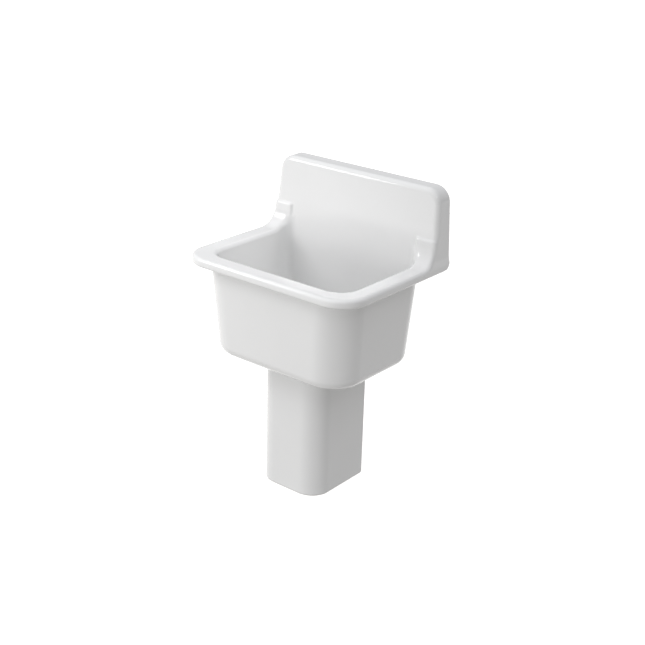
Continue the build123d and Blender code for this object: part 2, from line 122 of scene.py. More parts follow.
def relax(field, points, faces):
    """Spreads the points evenly over the surface, and keeps them on it."""
    pairs = np.concatenate([faces[:, [0, 1]], faces[:, [1, 2]], faces[:, [2, 3]], faces[:, [3, 0]]])
    count = np.bincount(pairs[:, 0], minlength=len(points)) + np.bincount(
        pairs[:, 1], minlength=len(points)
    )
    for _ in range(EVENING_ROUNDS):
        middle = np.zeros_like(points)
        for axis in range(3):
            middle[:, axis] = np.bincount(
                pairs[:, 0], points[pairs[:, 1], axis], len(points)
            ) + np.bincount(pairs[:, 1], points[pairs[:, 0], axis], len(points))
        middle /= count[:, None]
        points = points + EVENING_SHARE * (middle - points)
        points = settle(field, points, rounds=2)
    return points


def settle(field, points, rounds):
    """Moves the points onto the surface where the field is zero."""
    for _ in range(rounds):
        value = field(*points.T)
        slope = gradient(field, points)
        size = np.maximum((slope**2).sum(1), LEAST_SLOPE_SQUARED)
        move = -(value / size)[:, None] * slope
        length = np.maximum(np.linalg.norm(move, axis=1), 1e-9)
        points = points + move * np.minimum(1, LONGEST_MOVE / length)[:, None]
    return points


def mesh_piece(name, points, faces, normals):
    """A smooth-shaded mesh object with these corner points and normals."""
    mesh = bpy.data.meshes.new(name)
    mesh.from_pydata((points * MM).tolist(), [], faces)
    mesh.shade_smooth()
    mesh.normals_split_custom_set_from_vertices(normals.tolist())
    piece = bpy.data.objects.new(name, mesh)
    bpy.context.collection.objects.link(piece)
    return piece


def surface_piece(name, field, low, high, cell, margin):
    """A smooth piece on the surface where the field is zero, sampled round this box."""
    axes = [np.arange(a - margin, b + margin + cell, cell) for a, b in zip(low, high)]
    grid = np.meshgrid(*axes, indexing="ij")
    inside = field(*grid) < 0
    cells = tuple(n - 1 for n in inside.shape)
    corners = np.zeros(cells, np.int8)
    for shift in np.ndindex(2, 2, 2):
        corners += inside[tuple(slice(s, s + n) for s, n in zip(shift, cells))]
    ids = np.full(cells, -1)
    live = (corners > 0) & (corners < 8)
    ids[live] = np.arange(live.sum())
    points = np.stack(
        [axis[index] + cell / 2 for axis, index in zip(axes, np.nonzero(live))], axis=1
    )
    faces = crossing_quads(inside, ids)
    points = settle(field, points, rounds=4)
    points = relax(field, points, faces)
    points = settle(field, points, rounds=3)
    normals = gradient(field, points)
    normals /= np.linalg.norm(normals, axis=1)[:, None]
    return mesh_piece(name, points, faces.tolist(), normals)


# ---------------------------------------------------------------- turned and bent pieces
def outline_rounds(corners):
    """The outline's points and outward normals, its corners (r, z, round) made into arcs."""
    points, normals = [], []
    for index, (r, z, size) in enumerate(corners):
        before = np.array(corners[index - 1][:2], float)
        after = np.array(corners[(index + 1) % len(corners)][:2], float)
        here = np.array((r, z), float)
        into, out = here - before, after - here
        longest = LONGEST_ARC_SHARE * min(np.linalg.norm(into), np.linalg.norm(out))
        into, out = into / np.linalg.norm(into), out / np.linalg.norm(out)
        turn = math.atan2(into[0] * out[1] - into[1] * out[0], into @ out)
        reach = min(max(size, SMALLEST_ROUND) * math.tan(abs(turn) / 2), longest)
        start, end = here - into * reach, here + out * reach
        for part in range(ARC_STEPS + 1):
            t = part / ARC_STEPS
            points.append((1 - t) ** 2 * start + 2 * t * (1 - t) * here + t * t * end)
            angle = turn * t
            along = (
                into[0] * math.cos(angle) - into[1] * math.sin(angle),
                into[0] * math.sin(angle) + into[1] * math.cos(angle),
            )
            normals.append((along[1], -along[0]))
    return np.array(points), np.array(normals)


def turned(name, corners, centre, along="Z", segments=96, ripple=None):
    """An outline of (r, z, round) corners, anticlockwise, turned round an axis.

    ripple gives how far the surface stands out at (angle, r, z), for flats and grips.
    """
    outline, slopes = outline_rounds(corners)
    angles = np.linspace(0, 2 * math.pi, segments, endpoint=False)
    turn, r = np.meshgrid(angles, outline[:, 0], indexing="ij")
    z = np.broadcast_to(outline[:, 1], r.shape)
    outward = np.broadcast_to(slopes[:, 0], r.shape)
    upward = np.broadcast_to(slopes[:, 1], r.shape)
    twist = np.zeros_like(r)
    if ripple is not None:
        stands = ripple(turn, r, z)
        change = ripple(turn + TWIST_DELTA, r, z) - ripple(turn - TWIST_DELTA, r, z)
        twist = change / (2 * TWIST_DELTA)
        r = r + stands
    cos, sin = np.cos(turn), np.sin(turn)
    side = -outward * twist / np.maximum(r, 1)
    points = np.stack([r * cos, r * sin, z], axis=-1).reshape(-1, 3)
    normals = np.stack(
        [outward * cos - side * sin, outward * sin + side * cos, upward], axis=-1
    ).reshape(-1, 3)
    normals /= np.linalg.norm(normals, axis=1)[:, None]
    if along == "Y":
        points = points[:, [1, 2, 0]]
        normals = normals[:, [1, 2, 0]]
    rows = len(outline)
    faces = []
    for s in range(segments):
        t = (s + 1) % segments
        for k in range(rows):
            m = (k + 1) % rows
            faces.append((s * rows + k, t * rows + k, t * rows + m, s * rows + m))
    return mesh_piece(name, points + np.array(centre), faces, normals)


def dressed(piece, node, body, slot):
    """Puts a finished piece in the place of a CAD node."""
    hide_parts(node)
    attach(piece, body)
    SLOT_PIECES.setdefault(slot, []).append(piece)
    REPLACED_NODES.add(node)


def box_mm(node):
    """A CAD node's lowest and highest corner, in millimetres."""
    return tuple(np.array(corner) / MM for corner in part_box(node))


SLOT_PIECES = {}
REPLACED_NODES = set()

# ---------------------------------------------------------------- sizes of the china
basin_low, basin_high = box_mm("basin")
drain_low, drain_high = box_mm("drain_body")
FRONT_Y, WALL_Y = basin_low[1], basin_high[1]
HALF_RIM = basin_high[0]
TOP = basin_high[2]
UNDERSIDE = basin_low[2]

# Rim
RIM_TOP = TOP - 177
RIM_UNDER = RIM_TOP - 22
RIM_FACE = 50
RIM_WIDTH_FADE = (RIM_TOP - 8, RIM_TOP + 14)
LIP_CORNER = 72
LIP_INNER_ROUND = 10
LIP_INNER_FADE = (0.3, 9)
LIP_EDGE_ROUND = 9
LIP_UNDER_ROUND = 7

# Backsplash
BACK_THICKNESS = 61
BACK_LEAN = 16
BACK_TAPER = 11
BACK_INSET = 2
BACK_TOP_CORNER = 36
BACK_EDGE_ROUND = 14
BACK_EDGE_FADE = (RIM_TOP + 20, RIM_TOP + 90)
BACK_SHELL = 14
HEEL_RADIUS = 24
WALL_EDGE_ROUND = 2.5
POCKET_DEPTH = 31
POCKET_BOTTOM = RIM_UNDER + 31
POCKET_BOTTOM_CORNER = 12
POCKET_FLOOR_ROUND = 6
POCKET_EDGE_ROUND = 3.5
SWEEP_RADIUS = 42
TONGUE_PROUD = 5
TONGUE_OVERLAP = 10
TONGUE_HEIGHT = 59
TONGUE_ROUND = 4
TONGUE_FILLET = 5

# Body
SIDE_OVERHANG = 31
FRONT_OVERHANG = 26
BODY_BACK_GAP = 40
SIDE_DRAFT = 16.5
FRONT_DRAFT = 14.5
BODY_BACK_CORNER = 68
BODY_FRONT_CORNER = 84
BODY_CORNER_LOSS = 4
FOOT_ROUND = 27
BODY_FILLET = 6
BODY_INTO_RIM = 10

# Bowl, and the waste's recess and hole in its floor
INNER_HALF = HALF_RIM - RIM_FACE
INNER_FRONT = FRONT_Y + RIM_FACE
BOWL_SIDE_DRAFT = 10.5
BOWL_FRONT_DRAFT = 4
BOWL_FRONT_CORNER = 46
BOWL_BACK_CORNER = 28
BOWL_FLOOR_ROUND = 40
DRAIN_Y = (drain_low[1] + drain_high[1]) / 2
FLANGE_TOP = drain_high[2]
RECESS_FLOOR = FLANGE_TOP - 4
BOWL_FLOOR = RECESS_FLOOR + 7
DISH_HEIGHT = 4
DISH_SLOPE = 0.05
DISH_REACH = 80
RECESS_RADIUS = 43
HOLE_RADIUS = 30
RECESS_ROUND = 1.5
GLAZE_INSET = 0.4
SLOW_WAVE = 0.16
FINE_WAVE = 0.05
BARE_DEPTH = 20
SHARP = 0.01


def back_face(z):
    """Where the backsplash's sloping face stands at this height."""
    rise = (z - RIM_UNDER) / (TOP - RIM_UNDER)
    return WALL_Y - BACK_THICKNESS + BACK_LEAN * rise


def glaze_wave(x, y, z):
    """The slow unevenness that casting and firing leave, under half a millimetre.

    The waves are 180 to 610 mm long, and out of step with each other.
    """
    slow = np.sin(x / 71 + 0.6) * np.sin(z / 83 + 1.1) + np.sin(y / 64 + 2.0) * np.sin(x / 97)
    fine = np.sin(x / 31 + z / 37) * np.sin(y / 29 - z / 41)
    return SLOW_WAVE * slow + FINE_WAVE * fine


def back_half_width(z):
    """Half the width of the rim's slab, and of the backsplash above it."""
    rise = np.clip((z - RIM_UNDER) / (TOP - RIM_UNDER), 0, 1)
    at_rim = 1 - step(*RIM_WIDTH_FADE, z)
    return (HALF_RIM - BACK_INSET - BACK_TAPER * rise) * (1 - at_rim) + HALF_RIM * at_rim


def upper_field(x, y, z):
    """The rim's slab and the backsplash, without the bowl."""
    side = np.abs(x)
    ahead = back_face(z) - y
    # In side view. At the sides the rim runs up the backsplash as a low tongue.
    tongue = meet(ahead - TONGUE_PROUD, INNER_HALF - TONGUE_OVERLAP - side, TONGUE_ROUND)
    tongue = meet(tongue, z - RIM_TOP - TONGUE_HEIGHT, TONGUE_ROUND)
    profile = join(z - RIM_TOP, join(ahead, tongue, TONGUE_FILLET), SWEEP_RADIUS)
    # From above and from the front.
    plan = meet(side - back_half_width(z), FRONT_Y - y, LIP_CORNER)
    plan = meet(plan, z - TOP, BACK_TOP_CORNER)
    edge_growth = BACK_EDGE_ROUND - LIP_EDGE_ROUND
    edge = LIP_EDGE_ROUND + edge_growth * step(*BACK_EDGE_FADE, z)
    upper = meet(profile, plan, edge)
    upper = meet(upper, RIM_UNDER - z, LIP_UNDER_ROUND)
    upper = meet(upper, y - WALL_Y, WALL_EDGE_ROUND)
    return np.maximum(upper, meet(y - WALL_Y, RIM_UNDER - z, HEEL_RADIUS))


def body_field(x, y, z):
    """The body under the rim, drawn in towards its foot."""
    drop = (RIM_UNDER - z) / (RIM_UNDER - UNDERSIDE)
    half = HALF_RIM - SIDE_OVERHANG - SIDE_DRAFT * drop
    front = FRONT_Y + FRONT_OVERHANG + FRONT_DRAFT * drop
    back = WALL_Y - BODY_BACK_GAP - FRONT_DRAFT * drop
    middle = (front + back) / 2
    corner = np.where(y > middle, BODY_BACK_CORNER, BODY_FRONT_CORNER) - BODY_CORNER_LOSS * drop
    body = rounded_rectangle(x, y - middle, half, (back - front) / 2, corner)
    body = meet(body, UNDERSIDE - z, FOOT_ROUND)
    return meet(body, z - RIM_UNDER - BODY_INTO_RIM, 1)


def bowl_field(x, y, z):
    """The bowl's space. Its back wall is the backsplash's face, its floor dishes."""
    depth = (RIM_TOP - z) / (RIM_TOP - BOWL_FLOOR)
    half = INNER_HALF - BOWL_SIDE_DRAFT * depth
    front = INNER_FRONT + BOWL_FRONT_DRAFT * depth
    back = back_face(z)
    middle = (front + back) / 2
    corner = np.where(y > middle, BOWL_BACK_CORNER, BOWL_FRONT_CORNER)
    bowl = rounded_rectangle(x, y - middle, half, (back - front) / 2, corner)
    from_recess = np.hypot(x, y - DRAIN_Y) - RECESS_RADIUS
    floor = RECESS_FLOOR + DISH_HEIGHT + DISH_SLOPE * np.clip(from_recess, 0, DISH_REACH)
    return meet(bowl, floor - z, BOWL_FLOOR_ROUND)


def basin_field(x, y, z):
    """Negative inside the basin's china."""
    china = join(upper_field(x, y, z), body_field(x, y, z), BODY_FILLET)
    # The rim's inner edge is rounded, and fades out where the bowl meets the backsplash.
    lip_round = LIP_INNER_ROUND * step(*LIP_INNER_FADE, back_face(z) - y) + SHARP
    china = meet(china, -bowl_field(x, y, z), lip_round)
    from_drain = np.hypot(x, y - DRAIN_Y)
    recess = meet(from_drain - RECESS_RADIUS, RECESS_FLOOR - z, RECESS_ROUND)
    china = meet(china, -np.minimum(recess, from_drain - HOLE_RADIUS), RECESS_ROUND)
    # The pocket in the back.
    pocket = meet(
        np.abs(x) - back_half_width(z) + BACK_SHELL,
        z - TOP + BACK_SHELL,
        BACK_TOP_CORNER - BACK_SHELL,
    )
    pocket = meet(pocket, POCKET_BOTTOM - z, POCKET_BOTTOM_CORNER)
    pocket = meet(pocket, WALL_Y - POCKET_DEPTH - y, POCKET_FLOOR_ROUND)
    china = meet(china, -pocket, POCKET_EDGE_ROUND)
    # The face against the wall stays flat; the glaze fades in ahead of it.
    return china + (glaze_wave(x, y, z) + GLAZE_INSET) * step(0, BARE_DEPTH, WALL_Y - y)


dressed(
    surface_piece("basin_china", basin_field, basin_low, basin_high, cell=3.7, margin=9),
    "basin",
    "fixed",
    "vitreous_china",
)

# ---------------------------------------------------------------- pedestal
pedestal_low, pedestal_high = box_mm("pedestal")
PEDESTAL_WALL = 12
PEDESTAL_CORNER = 52
PEDESTAL_BACK_ROUND = 4
LUG_HALF_WIDTH = 12
LUG_HALF_LENGTH = 15
LUG_HEIGHT = 14
LUG_CORNER = 3
LUG_TOP_ROUND = 2
LUG_FILLET = 4
BOLT_X = 68
BOLT_FROM_BACK = 16
BOLT_RADIUS = 4.5
BOLT_EDGE_ROUND = 1
PEDESTAL_TOP_ROUND = 3
PEDESTAL_FOOT_ROUND = 2.5
PEDESTAL_FADE = 12


def pedestal_field(x, y, z):
    """Negative inside the pedestal's china, a shell open at its back."""
    low, high = pedestal_low, pedestal_high
    side = np.abs(x)
    outer = meet(side - high[0], low[1] - y, PEDESTAL_CORNER)
    inner_half = high[0] - PEDESTAL_WALL
    inner_corner = PEDESTAL_CORNER - PEDESTAL_WALL
    inner = meet(side - inner_half, low[1] + PEDESTAL_WALL - y, inner_corner)
    shell = meet(outer, -inner, PEDESTAL_BACK_ROUND)
    shell = meet(shell, y - high[1], PEDESTAL_BACK_ROUND)
    # A lug inside each side of the foot takes a floor bolt.
    bolt_y = high[1] - BOLT_FROM_BACK
    lug_side = np.abs(side - inner_half + LUG_HALF_WIDTH) - LUG_HALF_WIDTH
    lug = meet(lug_side, np.abs(y - bolt_y) - LUG_HALF_LENGTH, LUG_CORNER)
    lug = meet(lug, z - LUG_HEIGHT, LUG_TOP_ROUND)
    shell = join(shell, lug, LUG_FILLET)
    bolt = np.hypot(side - BOLT_X, y - bolt_y) - BOLT_RADIUS
    shell = meet(shell, -bolt, BOLT_EDGE_ROUND)
    shell = meet(shell, z - high[2], PEDESTAL_TOP_ROUND)
    shell = meet(shell, low[2] - z, PEDESTAL_FOOT_ROUND)
    fade = step(0, BARE_DEPTH, z)
    fade = fade * step(0, PEDESTAL_FADE, high[1] - y) * step(0, PEDESTAL_FADE, high[2] - z)
    return shell + (glaze_wave(x, y, z) + GLAZE_INSET) * fade


dressed(
    surface_piece(
        "pedestal_china", pedestal_field, pedestal_low, pedestal_high, cell=3.6, margin=9
    ),
    "pedestal",
    "fixed",
    "vitreous_china",
)

# ---------------------------------------------------------------- wall hangers
HANGER_PLATE = 3
HANGER_BEND = 5
HANGER_CORNER = 8
HANGER_EDGE_ROUND = 0.5
SCREW_HEIGHTS = (16, 48)
SCREW_RADIUS = 3.5
COUNTERSINK_SLOPE = 1.6
COUNTERSINK_START = 1.2


def hanger_field(low, high):
    """Negative inside a bent steel angle with two screw holes, against the wall."""
    middle = (low[0] + high[0]) / 2

    def field(x, y, z):
        across = np.abs(x - middle) - (high[0] - middle)
        outer = meet(y - high[1], z - high[2], HANGER_BEND)
        inner = meet(
            y - high[1] + HANGER_PLATE, z - high[2] + HANGER_PLATE, HANGER_BEND - HANGER_PLATE
        )
        bar = np.maximum(outer, -inner)
        foot = meet(across, low[2] - z, HANGER_CORNER)
        nose = meet(across, low[1] - y, HANGER_CORNER)
        plate = meet(bar, np.maximum(foot, nose), HANGER_EDGE_ROUND)
        from_wall = np.clip(high[1] - COUNTERSINK_START - y, 0, HANGER_PLATE)
        for height in SCREW_HEIGHTS:
            hole = np.hypot(x - middle, z - low[2] - height) - SCREW_RADIUS
            plate = np.maximum(plate, COUNTERSINK_SLOPE * from_wall - hole)
        return plate

    return field


for node in ("wall_hanger_left", "wall_hanger_right"):
    low, high = box_mm(node)
    dressed(
        surface_piece(node + "_steel", hanger_field(low, high), low, high, cell=1.1, margin=3),
        node,
        "fixed",
        "zinc_steel",
    )

# ---------------------------------------------------------------- waste
ON_WASTE = (0, DRAIN_Y, 0)
SPIGOT_END = drain_low[2]
SPIGOT_TOP = SPIGOT_END + 15
WASTE_THREAD_FOOT = SPIGOT_TOP + 4
FLANGE_RADIUS = 42
WASTE_CUP_RADIUS = 28
WASTE_CUP_BORE = 26
SPIGOT_RADIUS = 24
SPIGOT_BORE = 19.5
GROOVE_DEPTH = 0.75
GROOVE_ROUND = 0.4
GROOVE_HALF_WIDTH = 0.7
GROOVE_PITCH = 2.5


def thread_grooves(radius, start, count):
    """Points for a few grooves of a thread, going up a turned piece's outside."""
    grooves = []
    for turn in range(count):
        foot = start + turn * GROOVE_PITCH
        grooves.append((radius, foot, GROOVE_ROUND))
        grooves.append((radius - GROOVE_DEPTH, foot + GROOVE_HALF_WIDTH, GROOVE_ROUND))
        grooves.append((radius, foot + 2 * GROOVE_HALF_WIDTH, GROOVE_ROUND))
    return grooves


dressed(
    turned(
        "waste_cup",
        [
            (FLANGE_RADIUS, FLANGE_TOP - 2, 0.3),
            (FLANGE_RADIUS, FLANGE_TOP - 0.4, 0.6),
            (38, FLANGE_TOP, 3),
            (WASTE_CUP_BORE + 1.6, FLANGE_TOP, 1.5),
            (WASTE_CUP_BORE, FLANGE_TOP - 1.6, 1.5),
            (WASTE_CUP_BORE, SPIGOT_TOP + 2, 3),
            (SPIGOT_BORE, SPIGOT_TOP + 2, 1),
            (SPIGOT_BORE, SPIGOT_END, 0.4),
            (SPIGOT_RADIUS, SPIGOT_END, 0.6),
            *thread_grooves(SPIGOT_RADIUS, SPIGOT_END + 2, count=4),
            (SPIGOT_RADIUS, SPIGOT_TOP, 1.5),
            (WASTE_CUP_RADIUS, SPIGOT_TOP, 2),
            *thread_grooves(WASTE_CUP_RADIUS, WASTE_THREAD_FOOT, count=5),
            (WASTE_CUP_RADIUS, FLANGE_TOP - 2, 0.6),
        ],
        ON_WASTE,
    ),
    "drain_body",
    "fixed",
    "stainless_steel",
)

knob_low, knob_high = box_mm("strainer_knob")
KNOB_TOP = knob_high[2]
dressed(
    turned(
        "strainer_handle",
        [
            (0, knob_low[2], 0.1),
            (3, knob_low[2], 0.3),
            (3, KNOB_TOP - 12, 0.8),
            (4.6, KNOB_TOP - 11, 1),
            (5.4, KNOB_TOP - 8, 2),
            (9, KNOB_TOP - 4.6, 1.6),
            (9, KNOB_TOP - 2.2, 1.6),
            (6.6, KNOB_TOP, 1.6),
            (2.4, KNOB_TOP - 0.5, 2),
            (0, KNOB_TOP - 0.5, 0.1),
        ],
        ON_WASTE,
        segments=64,
    ),
    "strainer_knob",
    "strainer",
    "stainless_steel",
)

stopper_low, stopper_high = box_mm("strainer_stopper")
dressed(
    turned(
        "stopper_rubber",
        [
            (3, stopper_low[2], 0.2),
            (21.5, stopper_low[2], 0.8),
            (22.5, stopper_low[2] + 2, 0.8),
            (18, stopper_high[2], 1.5),
            (3, stopper_high[2], 0.2),
        ],
        ON_WASTE,
        segments=72,
    ),
    "strainer_stopper",
    "strainer",
    "black_rubber",
)

locknut_low, locknut_high = box_mm("drain_locknut")
LOCKNUT_LUGS = 6
LOCKNUT_RADIUS = 38
LOCKNUT_BORE = 28.3
LOCKNUT_FILLET = 2.5
LOCKNUT_TOP_ROUND = 0.8
LOCKNUT_FOOT_ROUND = 1.2
LOCKNUT_GAP = 0.2
CASTING_LUG_MIDDLE = 37
CASTING_LUG_HALF = (6.8, 7.4)
CASTING_LUG_ROUND = 2.4


def locknut_field(x, y, z):
    """Negative inside the cast locknut, a ring with lugs."""
    y = y - DRAIN_Y
    sector = 2 * math.pi / LOCKNUT_LUGS
    angle = np.arctan2(y, x)
    angle = angle - sector * np.round(angle / sector)
    r = np.hypot(x, y)
    reach = np.abs(r * np.cos(angle) - CASTING_LUG_MIDDLE) - CASTING_LUG_HALF[0]
    sideways = np.abs(r * np.sin(angle)) - CASTING_LUG_HALF[1]
    lugs = meet(reach, sideways, CASTING_LUG_ROUND)
    body = join(r - LOCKNUT_RADIUS, lugs, LOCKNUT_FILLET)
    body = meet(body, LOCKNUT_BORE - r, LOCKNUT_TOP_ROUND)
    body = meet(body, z - locknut_high[2] + LOCKNUT_GAP, LOCKNUT_TOP_ROUND)
    return meet(body, locknut_low[2] + LOCKNUT_GAP - z, LOCKNUT_FOOT_ROUND)


dressed(
    surface_piece(
        "locknut_casting", locknut_field, locknut_low, locknut_high, cell=1.25, margin=3
    ),
    "drain_locknut",
    "fixed",
    "brass",
)

# ---------------------------------------------------------------- tailpiece, trap and outlet
NUT_SIDES = 10
NUT_APOTHEM = 28.5
NUT_CORNER_RADIUS = NUT_APOTHEM + 1.05
NUT_CORNER_BLEND = 0.5
NUT_OUTSIDE = NUT_APOTHEM + 0.3
NUT_OPEN_END = 28.6
NUT_LIP_END = 24
NUT_END_ROUND = 1.2
NUT_THREAD = 24.3
NUT_LIP = 3
NUT_CHAMFER = 2.6
OUTSIDE_ONLY = (27.5, 28.4)
FACE_GAP = 0.3


def nut_flats(turn, r, _):
    """The nut's flats, with rounded corners between them, on its outside only."""
    sector = 2 * math.pi / NUT_SIDES
    off = turn - sector * np.round(turn / sector - 0.5) - sector / 2
    flat = NUT_APOTHEM / np.cos(off)
    past_corner = np.hypot(NUT_CORNER_BLEND, flat - NUT_CORNER_RADIUS)
    reach = (flat + NUT_CORNER_RADIUS - past_corner) / 2
    return (reach - NUT_OUTSIDE) * step(*OUTSIDE_ONLY, r)


def nut_outline(low, high, lip_at_top, tube):
    """A slip nut: a threaded bore with a lip that holds the washer."""
    foot, top = low + FACE_GAP, high - FACE_GAP
    if lip_at_top:
        shelf = high - NUT_LIP
        bore = [(tube, top, 0.5), (tube, shelf, 0.3), (NUT_THREAD, shelf, 0.3)]
        bore.append((NUT_THREAD, foot, 0.8))
        rims = [
            (NUT_OPEN_END, foot),
            (NUT_OUTSIDE, low + NUT_END_ROUND),
            (NUT_OUTSIDE, high - NUT_CHAMFER),
            (NUT_LIP_END, top),
        ]
    else:
        shelf = low + NUT_LIP
        bore = [(NUT_THREAD, top, 0.8), (NUT_THREAD, shelf, 0.3), (tube, shelf, 0.3)]
        bore.append((tube, foot, 0.5))
        rims = [
            (NUT_LIP_END, foot),
            (NUT_OUTSIDE, low + NUT_CHAMFER),
            (NUT_OUTSIDE, high - NUT_END_ROUND),
            (NUT_OPEN_END, top),
        ]
    return [(r, z, NUT_END_ROUND) for r, z in rims] + bore


def slip_nut(name, node, slot, lip_at_top, tube, along="Z"):
    """A slip nut in the place of a CAD nut, with a hole of radius tube in its lip."""
    low, high = box_mm(node)
    centre = (low + high) / 2
    axis = "XYZ".index(along)
    centre[axis] = 0
    outline = nut_outline(low[axis], high[axis], lip_at_top, tube)
    nut = turned(name, outline, centre, along, segments=160, ripple=nut_flats)
    dressed(nut, node, node, slot)


TAILPIECE_SOCKET = 19.3
OUTLET_BORE = 20.3
slip_nut("tailpiece_slip_nut", "tailpiece_nut", "chrome", False, TAILPIECE_SOCKET)
slip_nut("inlet_slip_nut", "trap_inlet_nut", "white_plastic", True, TAILPIECE_SOCKET)
slip_nut("outlet_slip_nut", "trap_outlet_nut", "white_plastic", True, OUTLET_BORE, "Y")

tail_low, tail_high = box_mm("tailpiece")
dressed(
    turned(
        "tailpiece_tube",
        [
            (19, tail_low[2], 0.3),
            (19, tail_high[2] - 1.5, 0.8),
            (23.4, tail_high[2] - 1.5, 0.4),
            (23.4, tail_high[2], 0.4),
            (17.8, tail_high[2], 0.6),
            (17.8, tail_low[2], 0.3),
        ],
        ON_WASTE,
    ),
    "tailpiece",
    "fixed",
    "chrome",
)

trap_low, trap_high = box_mm("trap_body")
TRAP_TOP = trap_high[2]
SHOULDER_Z = TRAP_TOP - 14
CHAMBER_TOP = TRAP_TOP - 17
SOCKET_FOOT = TRAP_TOP - 24
NECK_FOOT = TRAP_TOP - 40
OUTLET_Z = TRAP_TOP - 42
COLLAR_TOP = TRAP_TOP - 60
BOTTLE_FOOT = TRAP_TOP - 70
COLLAR_FOOT = TRAP_TOP - 85
CHAMBER_FOOT = TRAP_TOP - 88
SPIGOT_START = DRAIN_Y + 12
OUTLET_START = DRAIN_Y + 22
BOTTLE_RADIUS = 33.5
CHAMBER_RADIUS = 26.5
NECK_RADIUS = 24
DIP_TUBE_RADIUS = 20.5
DIP_TUBE_BORE = 17.5
THREAD_RADIUS = 29.2
THREAD_DEPTH = 0.5
THREAD_PITCH = 3.2
SHOULDER_ROUND = 4
BOTTLE_FOOT_ROUND = 1.2
END_ROUND = 0.8
NECK_FILLET = 3
COLLAR_FILLET = 0.6


def trap_field(x, y, z):
    """Negative inside the bottle trap's moulded body."""
    r = np.hypot(x, y - DRAIN_Y)
    from_outlet = np.hypot(x, z - OUTLET_Z)
    bottle = meet(r - BOTTLE_RADIUS, z - SHOULDER_Z, SHOULDER_ROUND)
    bottle = meet(bottle, BOTTLE_FOOT - z, BOTTLE_FOOT_ROUND)
    neck = np.maximum(meet(r - NECK_RADIUS, z - TRAP_TOP, END_ROUND), NECK_FOOT - z)
    # The thread that the cup screws onto, below the bottle's foot.
    wave = np.abs(np.sin((z - TRAP_TOP) * math.pi / THREAD_PITCH))
    thread = THREAD_RADIUS - THREAD_DEPTH * wave
    collar = np.maximum(np.maximum(r - thread, COLLAR_FOOT - z), z - COLLAR_TOP)
    spigot = meet(from_outlet - NECK_RADIUS, y - trap_high[1], END_ROUND)
    spigot = np.maximum(spigot, SPIGOT_START - y)
    outside = join(join(bottle, neck, NECK_FILLET), collar, COLLAR_FILLET)
    outside = join(outside, spigot, NECK_FILLET)
    chamber = np.maximum(np.maximum(r - CHAMBER_RADIUS, z - CHAMBER_TOP), CHAMBER_FOOT - z)
    outlet = np.maximum(from_outlet - OUTLET_BORE, OUTLET_START - y)
    shell = np.maximum(outside, -np.minimum(chamber, outlet))
    dip_tube = np.maximum(np.maximum(r - DIP_TUBE_RADIUS, trap_low[2] - z), z - CHAMBER_TOP)
    shell = np.minimum(shell, dip_tube)
    bore = r - np.where(z > SOCKET_FOOT, TAILPIECE_SOCKET, DIP_TUBE_BORE)
    return np.maximum(shell, -bore)


dressed(
    surface_piece("trap_moulding", trap_field, trap_low, trap_high, cell=1.5, margin=3),
    "trap_body",
    "fixed",
    "white_plastic",
)

trap_cup_low, trap_cup_high = box_mm("trap_cup")
TRAP_CUP_FOOT, TRAP_CUP_TOP = trap_cup_low[2], trap_cup_high[2]
TRAP_CUP_OUTSIDE = 35
TRAP_CUP_INSIDE = 29.8
TRAP_CUP_FLOOR = TRAP_CUP_FOOT + 3
TRAP_CUP_DIMPLE = TRAP_CUP_FOOT + 1.2
GRIPS = 16
GRIP_DEPTH = 0.9
GRIP_WALL_FADE = (33, 34.5)
GRIP_FOOT_FADE = (TRAP_CUP_FOOT + 20, TRAP_CUP_FOOT + 30)
GRIP_TOP_FADE = (TRAP_CUP_TOP - 14, TRAP_CUP_TOP - 6)


def cup_grips(turn, r, z):
    """Finger grips round the cup's wall, fading out at both ends."""
    weight = step(*GRIP_WALL_FADE, r) * step(*GRIP_FOOT_FADE, z)
    weight = weight * (1 - step(*GRIP_TOP_FADE, z))
    return -GRIP_DEPTH * weight * (0.5 + 0.5 * np.cos(GRIPS * turn)) ** 2


# The wall needs rings of points where the grips fade in and out.
RING_RISES = (18, 22, 26, 30, 50, 74, 78, 82, 86)
wall_rings = [(TRAP_CUP_OUTSIDE - 0.1, TRAP_CUP_FOOT + rise, 0.2) for rise in RING_RISES]
dressed(
    turned(
        "trap_cup_moulding",
        [
            (8, TRAP_CUP_DIMPLE, 3),
            (22, TRAP_CUP_FOOT, 4),
            (TRAP_CUP_OUTSIDE, TRAP_CUP_FOOT, 12),
            *wall_rings,
            (TRAP_CUP_OUTSIDE, TRAP_CUP_TOP - 1, 0.4),
            (34, TRAP_CUP_TOP, 0.6),
            (TRAP_CUP_INSIDE, TRAP_CUP_TOP, 0.5),
            (TRAP_CUP_INSIDE, TRAP_CUP_FLOOR, 4),
            (8, TRAP_CUP_FLOOR, 1),
            (0, TRAP_CUP_FLOOR, 0.1),
            (0, TRAP_CUP_DIMPLE, 0.1),
        ],
        ON_WASTE,
        segments=160,
        ripple=cup_grips,
    ),
    "trap_cup",
    "trap_cup",
    "white_plastic",
)

pipe_low, pipe_high = box_mm("outlet_bend")
PIPE_RADIUS = 20
PIPE_BORE = 18.2
PIPE_Y = pipe_high[1] - PIPE_RADIUS
PIPE_Z = pipe_high[2] - PIPE_RADIUS
BEND = 27
BEND_POINTS = 25
PIPE_SEGMENTS = 72


def pipe_route():
    """Points and forward directions along the pipe's middle line."""
    turn = np.linspace(0, math.pi / 2, BEND_POINTS)
    bend_y = PIPE_Y - BEND + BEND * np.sin(turn)
    bend_z = PIPE_Z - BEND + BEND * np.cos(turn)
    y = np.concatenate([[pipe_low[1]], bend_y, [PIPE_Y]])
    z = np.concatenate([[PIPE_Z], bend_z, [pipe_low[2]]])
    angle = np.concatenate([[0], turn, [math.pi / 2]])
    return np.stack([y, z, np.cos(angle), -np.sin(angle)], axis=1)


